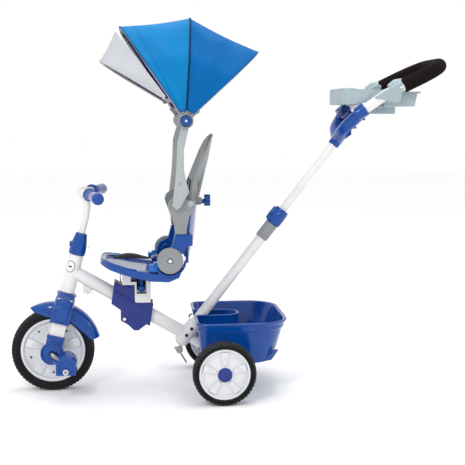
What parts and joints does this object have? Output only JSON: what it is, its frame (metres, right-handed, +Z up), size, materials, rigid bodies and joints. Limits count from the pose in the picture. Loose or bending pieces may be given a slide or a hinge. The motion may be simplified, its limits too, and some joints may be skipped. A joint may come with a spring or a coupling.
{
  "type": "children's tricycle",
  "caption": "Push-along children's tricycle with a sliding reclining seat, a tilting fabric canopy, a telescopic push handle with a tray, and a storage bin.",
  "frame": {"origin": "on the floor, under the middle of the tricycle's overall length and width", "axes": "+X from the front wheel towards the push handle, +Y towards the rider's right, +Z up"},
  "size_m": [1.143, 0.422, 0.9695],
  "materials": {
    "white_steel": "gloss powder coat",
    "wheel_white": "moulded, satin",
    "blue_plastic": "moulded, glossy",
    "violet_plastic": "moulded, matte",
    "grey_plastic": "moulded, satin",
    "pale_grey_plastic": "moulded, satin",
    "tyre_rubber": "moulded tread",
    "foam": "matte foam skin",
    "steel": "zinc plated",
    "chrome": "polished",
    "canopy_blue": "woven polyester",
    "canopy_grey": "woven polyester",
    "webbing": "woven strap"
  },
  "bodies": {
    "frame": {"main_frame": "white_steel", "head_bushes": "wheel_white", "rear_axle": "steel", "axle_push_nuts": "steel", "lower_push_tube": "white_steel", "push_tube_sleeve": "grey_plastic", "frame_screws": "steel", "hitch_clip": "steel", "storage_bin": "blue_plastic"},
    "steering": {"fork": "white_steel", "front_mudguard": "blue_plastic", "fork_crown_cover": "blue_plastic", "fork_end_caps": "blue_plastic", "stem_collar": "blue_plastic", "handlebar": "white_steel", "handlebar_grips": "blue_plastic", "steering_screws": "chrome"},
    "front_wheel": {"front_tyre": "tyre_rubber", "front_wheel_disc": "wheel_white", "crank": "steel", "front_wheel_screws": "steel", "pedal_nuts": "chrome"},
    "pedal_left": {"pedal_left": "blue_plastic"},
    "pedal_right": {"pedal_right": "blue_plastic"},
    "rear_wheel_left": {"rear_tyre_left": "tyre_rubber", "rear_wheel_disc_left": "wheel_white", "rear_wheel_cap_left": "blue_plastic"},
    "rear_wheel_right": {"rear_tyre_right": "tyre_rubber", "rear_wheel_disc_right": "wheel_white", "rear_wheel_cap_right": "blue_plastic"},
    "seat": {"seat_carriage": "violet_plastic", "seat_column": "wheel_white", "seat_pan": "blue_plastic", "recline_discs": "grey_plastic", "seat_screws": "chrome", "lap_strap": "webbing", "harness_buckles": "blue_plastic"},
    "seat_knob": {"seat_lock_knob": "blue_plastic"},
    "backrest": {"back_shell": "blue_plastic", "high_back": "grey_plastic", "back_side_plates": "grey_plastic", "shoulder_straps": "webbing"},
    "back_knob": {"back_knob": "blue_plastic"},
    "post_button_left": {"post_button_left": "grey_plastic"},
    "post_button_right": {"post_button_right": "grey_plastic"},
    "canopy_posts": {"canopy_posts": "pale_grey_plastic"},
    "canopy": {"hub_brackets": "grey_plastic", "canopy_bows": "steel", "canopy_cover": "canopy_blue"},
    "canopy_knob_left": {"canopy_knob_left": "blue_plastic"},
    "canopy_knob_right": {"canopy_knob_right": "blue_plastic"},
    "visor": {"visor_bow": "steel", "visor_cover": "canopy_grey"},
    "tube_clamp": {"tube_clamp": "blue_plastic"},
    "handle": {"upper_push_tube": "white_steel", "handle_bar": "white_steel", "handle_yoke": "blue_plastic", "foam_grip": "foam", "handle_tray": "pale_grey_plastic"},
    "hitch_pin": {"hitch_pin": "steel"}
  },
  "joints": [
    {"name": "steering_turn", "type": "hinge", "parent": "frame", "child": "steering", "pos_m": [-0.463, 0, 0.1085], "axis": [0.2504, 0, 0.9681], "range_deg": [-40, 40]},
    {"name": "front_wheel_spin", "type": "hinge", "parent": "steering", "child": "front_wheel", "pos_m": [-0.463, 0, 0.1085], "axis": [0, 1, 0], "continuous": true},
    {"name": "pedal_left_spin", "type": "hinge", "parent": "front_wheel", "child": "pedal_left", "pos_m": [-0.422, 0, 0.082], "axis": [0, 1, 0], "continuous": true},
    {"name": "pedal_right_spin", "type": "hinge", "parent": "front_wheel", "child": "pedal_right", "pos_m": [-0.504, 0, 0.135], "axis": [0, 1, 0], "continuous": true},
    {"name": "rear_wheel_left_spin", "type": "hinge", "parent": "frame", "child": "rear_wheel_left", "pos_m": [-0.024, -0.19, 0.0805], "axis": [0, 1, 0], "continuous": true},
    {"name": "rear_wheel_right_spin", "type": "hinge", "parent": "frame", "child": "rear_wheel_right", "pos_m": [-0.024, 0.19, 0.0805], "axis": [0, 1, 0], "continuous": true},
    {"name": "seat_slide", "type": "slide", "parent": "frame", "child": "seat", "axis": [0.8616, 0, -0.5075], "range_m": [0, 0.111]},
    {"name": "seat_knob_turn", "type": "hinge", "parent": "seat", "child": "seat_knob", "pos_m": [-0.228, -0.016, 0.27], "axis": [0, 0, 1], "range_deg": [-90, 90]},
    {"name": "backrest_recline", "type": "hinge", "parent": "seat", "child": "backrest", "pos_m": [-0.156, 0, 0.359], "axis": [0, 1, 0], "range_deg": [0, 12]},
    {"name": "back_knob_turn", "type": "hinge", "parent": "backrest", "child": "back_knob", "pos_m": [-0.058, 0, 0.5], "axis": [0.9793, 0, 0.2027], "range_deg": [-90, 90]},
    {"name": "post_button_left_press", "type": "slide", "parent": "backrest", "child": "post_button_left", "axis": [0, 1, 0], "range_m": [0, 0.003], "stiffness_N_per_m": 300, "springref_m": -0.002},
    {"name": "post_button_right_press", "type": "slide", "parent": "backrest", "child": "post_button_right", "axis": [0, -1, 0], "range_m": [0, 0.003], "stiffness_N_per_m": 300, "springref_m": -0.002},
    {"name": "canopy_lift_off", "type": "slide", "parent": "backrest", "child": "canopy_posts", "axis": [0, 0, 1], "range_m": [0, 0.08]},
    {"name": "canopy_tilt", "type": "hinge", "parent": "canopy_posts", "child": "canopy", "pos_m": [-0.115, 0, 0.712], "axis": [0, -1, 0], "range_deg": [-15, 25]},
    {"name": "canopy_knob_left_turn", "type": "hinge", "parent": "canopy", "child": "canopy_knob_left", "pos_m": [-0.115, -0.155, 0.712], "axis": [0, 1, 0], "range_deg": [-90, 90]},
    {"name": "canopy_knob_right_turn", "type": "hinge", "parent": "canopy", "child": "canopy_knob_right", "pos_m": [-0.115, 0.155, 0.712], "axis": [0, 1, 0], "range_deg": [-90, 90]},
    {"name": "visor_flip", "type": "hinge", "parent": "canopy", "child": "visor", "pos_m": [-0.157, 0, 0.762], "axis": [0, 1, 0], "range_deg": [-6, 16], "deforming": ["visor_cover"]},
    {"name": "tube_clamp_turn", "type": "hinge", "parent": "frame", "child": "tube_clamp", "pos_m": [0.13679, 0, 0.45596], "axis": [0.6157, 0, 0.788], "range_deg": [0, 90]},
    {"name": "handle_telescope", "type": "slide", "parent": "frame", "child": "handle", "axis": [0.6157, 0, 0.788], "range_m": [-0.18, 0.03]},
    {"name": "hitch_pin_swing", "type": "hinge", "parent": "frame", "child": "hitch_pin", "pos_m": [-0.128, 0, 0.093], "axis": [0, 1, 0], "range_deg": [-20, 80]}
  ]
}
